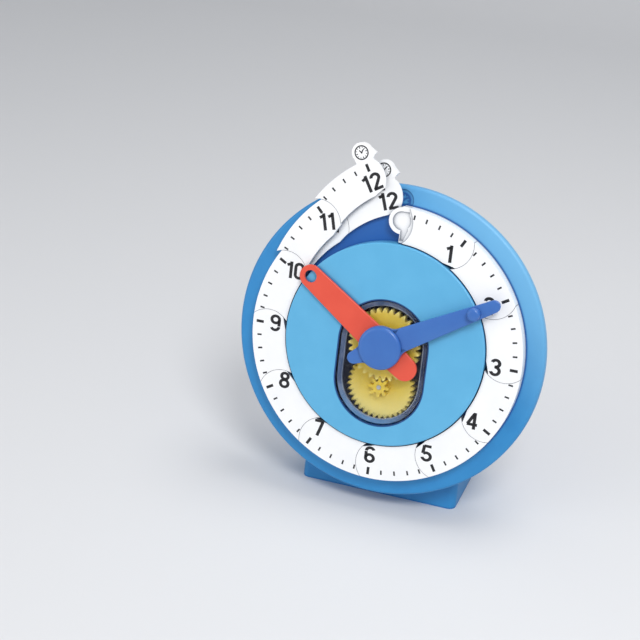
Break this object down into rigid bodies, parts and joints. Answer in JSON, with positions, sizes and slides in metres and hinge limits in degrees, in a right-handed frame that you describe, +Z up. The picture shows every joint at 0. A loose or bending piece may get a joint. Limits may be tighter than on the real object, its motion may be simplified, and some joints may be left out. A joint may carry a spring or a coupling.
{
  "type": "geared teaching clock",
  "caption": "Geared teaching clock with red hour and blue minute hands, a clear gear window, and two stacked hinged number strips round a blue dial, on a foot.",
  "frame": {"origin": "centre of the foot's flat sole on the table", "axes": "+Z up, -Y the way the clock's face looks, +X to the right of someone reading the clock; the dial leans back 12 degrees"},
  "size_m": [0.2164, 0.0915, 0.2498],
  "materials": {
    "housing_blue": "satin",
    "dial_blue": "satin",
    "window_clear": "clear, gloss",
    "gear_yellow": "satin",
    "chassis_dark": "matt",
    "hour_red": "satin gloss",
    "minute_blue": "satin gloss",
    "link_white": "satin",
    "steel": "plain",
    "washer_white": "satin"
  },
  "bodies": {
    "stand": {"front_housing": "housing_blue", "dial_plate": "dial_blue", "gear_window": "window_clear", "gear_chassis": "chassis_dark", "rear_cover": "housing_blue", "foot": "housing_blue", "transfer_pin": "steel", "dial_screws": "steel", "rear_screws": "steel", "foot_screws": "steel", "lower_link_06": "link_white", "upper_link_06": "link_white"},
    "minute_body": {"minute_arbor": "gear_yellow", "arbor_retainer": "steel", "hand_washer": "washer_white", "minute_hand": "minute_blue"},
    "hour_body": {"hour_gear": "gear_yellow", "hour_hand": "hour_red"},
    "transfer_body": {"transfer_gear": "gear_yellow"},
    "lower_link_body_01": {"lower_link_01": "link_white"},
    "lower_link_body_02": {"lower_link_02": "link_white"},
    "lower_link_body_03": {"lower_link_03": "link_white"},
    "lower_link_body_04": {"lower_link_04": "link_white"},
    "lower_link_body_05": {"lower_link_05": "link_white"},
    "lower_link_body_07": {"lower_link_07": "link_white"},
    "lower_link_body_08": {"lower_link_08": "link_white"},
    "lower_link_body_09": {"lower_link_09": "link_white"},
    "lower_link_body_10": {"lower_link_10": "link_white"},
    "lower_link_body_11": {"lower_link_11": "link_white"},
    "lower_link_body_12": {"lower_link_12": "link_white"},
    "upper_link_body_01": {"upper_link_01": "link_white"},
    "upper_link_body_02": {"upper_link_02": "link_white"},
    "upper_link_body_03": {"upper_link_03": "link_white"},
    "upper_link_body_04": {"upper_link_04": "link_white"},
    "upper_link_body_05": {"upper_link_05": "link_white"},
    "upper_link_body_07": {"upper_link_07": "link_white"},
    "upper_link_body_08": {"upper_link_08": "link_white"},
    "upper_link_body_09": {"upper_link_09": "link_white"},
    "upper_link_body_10": {"upper_link_10": "link_white"},
    "upper_link_body_11": {"upper_link_11": "link_white"},
    "upper_link_body_12": {"upper_link_12": "link_white"}
  },
  "joints": [
    {"name": "minute_turn", "type": "hinge", "parent": "stand", "child": "minute_body", "pos_m": [0, -0.03948, 0.12018], "axis": [0, 0.9781, -0.2079], "continuous": true},
    {"name": "hour_turn", "type": "hinge", "parent": "stand", "child": "hour_body", "pos_m": [0, -0.03948, 0.12018], "axis": [0, 0.9781, -0.2079], "continuous": true},
    {"name": "transfer_turn", "type": "hinge", "parent": "stand", "child": "transfer_body", "pos_m": [0, -0.04571, 0.09084], "axis": [0, 0.9781, -0.2079], "continuous": true},
    {"name": "lower_hinge_06_07", "type": "hinge", "parent": "stand", "child": "lower_link_body_07", "pos_m": [0.00703, -0.04866, 0.03656], "axis": [0, -0.9781, 0.2079], "range_deg": [0, 30]},
    {"name": "lower_hinge_07_08", "type": "hinge", "parent": "lower_link_body_07", "child": "lower_link_body_08", "pos_m": [-0.03577, -0.04706, 0.04409], "axis": [0, -0.9781, 0.2079], "range_deg": [0, 30]},
    {"name": "lower_hinge_08_09", "type": "hinge", "parent": "lower_link_body_08", "child": "lower_link_body_09", "pos_m": [-0.06898, -0.04123, 0.07154], "axis": [0, -0.9781, 0.2079], "range_deg": [0, 30]},
    {"name": "lower_hinge_09_10", "type": "hinge", "parent": "lower_link_body_09", "child": "lower_link_body_10", "pos_m": [-0.08371, -0.03272, 0.11156], "axis": [0, -0.9781, 0.2079], "range_deg": [0, 30]},
    {"name": "lower_hinge_10_11", "type": "hinge", "parent": "lower_link_body_10", "child": "lower_link_body_11", "pos_m": [-0.07601, -0.02382, 0.15342], "axis": [0, -0.9781, 0.2079], "range_deg": [-6, 24]},
    {"name": "lower_hinge_11_12", "type": "hinge", "parent": "lower_link_body_11", "child": "lower_link_body_12", "pos_m": [-0.05157, -0.01635, 0.1886], "axis": [0, -0.9781, 0.2079], "range_deg": [-12, 18]},
    {"name": "lower_hinge_06_05", "type": "hinge", "parent": "stand", "child": "lower_link_body_05", "pos_m": [0.04794, -0.0456, 0.05097], "axis": [0, 0.9781, -0.2079], "range_deg": [0, 15]},
    {"name": "lower_hinge_05_04", "type": "hinge", "parent": "lower_link_body_05", "child": "lower_link_body_04", "pos_m": [0.07601, -0.0387, 0.08345], "axis": [0, 0.9781, -0.2079], "range_deg": [0, 15]},
    {"name": "lower_hinge_04_03", "type": "hinge", "parent": "lower_link_body_04", "child": "lower_link_body_03", "pos_m": [0.08371, -0.0298, 0.12531], "axis": [0, 0.9781, -0.2079], "range_deg": [0, 15]},
    {"name": "lower_hinge_03_02", "type": "hinge", "parent": "lower_link_body_03", "child": "lower_link_body_02", "pos_m": [0.06898, -0.02129, 0.16533], "axis": [0, 0.9781, -0.2079], "range_deg": [0, 15]},
    {"name": "lower_hinge_02_01", "type": "hinge", "parent": "lower_link_body_02", "child": "lower_link_body_01", "pos_m": [0.03577, -0.01546, 0.19278], "axis": [0, 0.9781, -0.2079], "range_deg": [0, 15]},
    {"name": "upper_hinge_06_07", "type": "hinge", "parent": "stand", "child": "upper_link_body_07", "pos_m": [0.00703, -0.05307, 0.03749], "axis": [0, -0.9781, 0.2079], "range_deg": [0, 30]},
    {"name": "upper_hinge_07_08", "type": "hinge", "parent": "upper_link_body_07", "child": "upper_link_body_08", "pos_m": [-0.03577, -0.05146, 0.04503], "axis": [0, -0.9781, 0.2079], "range_deg": [0, 30]},
    {"name": "upper_hinge_08_09", "type": "hinge", "parent": "upper_link_body_08", "child": "upper_link_body_09", "pos_m": [-0.06898, -0.04563, 0.07248], "axis": [0, -0.9781, 0.2079], "range_deg": [0, 30]},
    {"name": "upper_hinge_09_10", "type": "hinge", "parent": "upper_link_body_09", "child": "upper_link_body_10", "pos_m": [-0.08371, -0.03712, 0.11249], "axis": [0, -0.9781, 0.2079], "range_deg": [0, 30]},
    {"name": "upper_hinge_10_11", "type": "hinge", "parent": "upper_link_body_10", "child": "upper_link_body_11", "pos_m": [-0.07601, -0.02823, 0.15435], "axis": [0, -0.9781, 0.2079], "range_deg": [-13.5, 16.5]},
    {"name": "upper_hinge_11_12", "type": "hinge", "parent": "upper_link_body_11", "child": "upper_link_body_12", "pos_m": [-0.05647, -0.02015, 0.19235], "axis": [0, -0.9781, 0.2079], "range_deg": [-17, 13]},
    {"name": "upper_hinge_06_05", "type": "hinge", "parent": "stand", "child": "upper_link_body_05", "pos_m": [0.04794, -0.05, 0.0519], "axis": [0, 0.9781, -0.2079], "range_deg": [0, 15]},
    {"name": "upper_hinge_05_04", "type": "hinge", "parent": "upper_link_body_05", "child": "upper_link_body_04", "pos_m": [0.07601, -0.0431, 0.08439], "axis": [0, 0.9781, -0.2079], "range_deg": [0, 15]},
    {"name": "upper_hinge_04_03", "type": "hinge", "parent": "upper_link_body_04", "child": "upper_link_body_03", "pos_m": [0.08371, -0.0342, 0.12625], "axis": [0, 0.9781, -0.2079], "range_deg": [0, 15]},
    {"name": "upper_hinge_03_02", "type": "hinge", "parent": "upper_link_body_03", "child": "upper_link_body_02", "pos_m": [0.06898, -0.02569, 0.16626], "axis": [0, 0.9781, -0.2079], "range_deg": [0, 15]},
    {"name": "upper_hinge_02_01", "type": "hinge", "parent": "upper_link_body_02", "child": "upper_link_body_01", "pos_m": [0.03577, -0.01986, 0.19371], "axis": [0, 0.9781, -0.2079], "range_deg": [0, 15]}
  ],
  "couplings": [
    {"joint": "hour_turn", "follows": "minute_turn", "ratio": 0.083333},
    {"joint": "transfer_turn", "follows": "minute_turn", "ratio": -0.33333}
  ]
}
